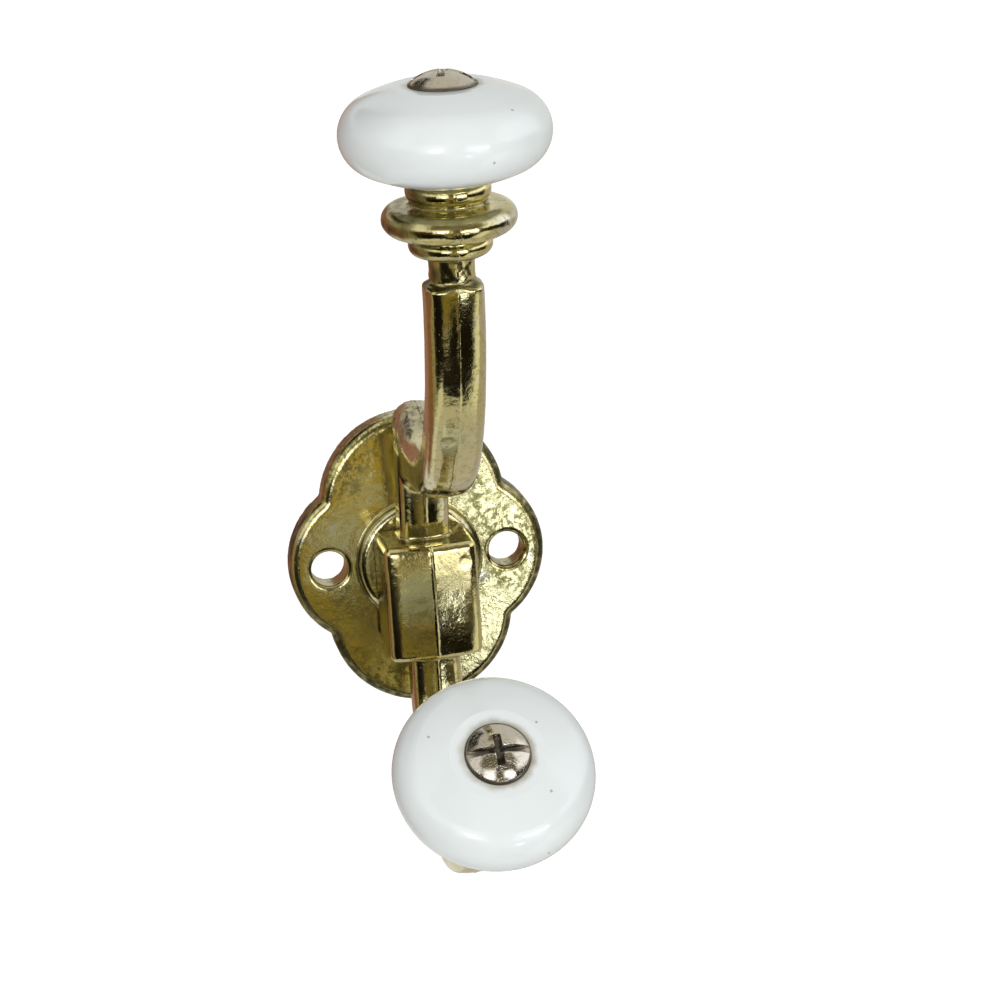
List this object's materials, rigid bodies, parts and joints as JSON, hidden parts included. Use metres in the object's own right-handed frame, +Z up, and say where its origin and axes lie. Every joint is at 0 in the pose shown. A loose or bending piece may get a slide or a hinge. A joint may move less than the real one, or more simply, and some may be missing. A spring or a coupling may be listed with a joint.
{
  "type": "double hook",
  "caption": "Wall coat hook with an upper and a lower curved arm on a quatrefoil back plate, each arm ending in a ringed collar and a round porcelain knob.",
  "frame": {"origin": "on the back of the plate, midway between the two wall-screw holes", "axes": "+Y into the wall, -Y out to the front, +X to the right seen from the front, +Z up"},
  "size_m": [0.0364, 0.0657, 0.1098],
  "materials": {
    "plate_brass": "worn bright brass plating on a zinc casting",
    "hook_brass": "worn bright brass plating on a zinc casting",
    "porcelain": "gloss white glaze",
    "screw_steel": "dulled nickel plating"
  },
  "bodies": {
    "root": {"back_plate": "plate_brass", "hook": "hook_brass", "upper_knob": "porcelain", "lower_knob": "porcelain", "upper_knob_screw": "screw_steel", "lower_knob_screw": "screw_steel"}
  },
  "joints": []
}
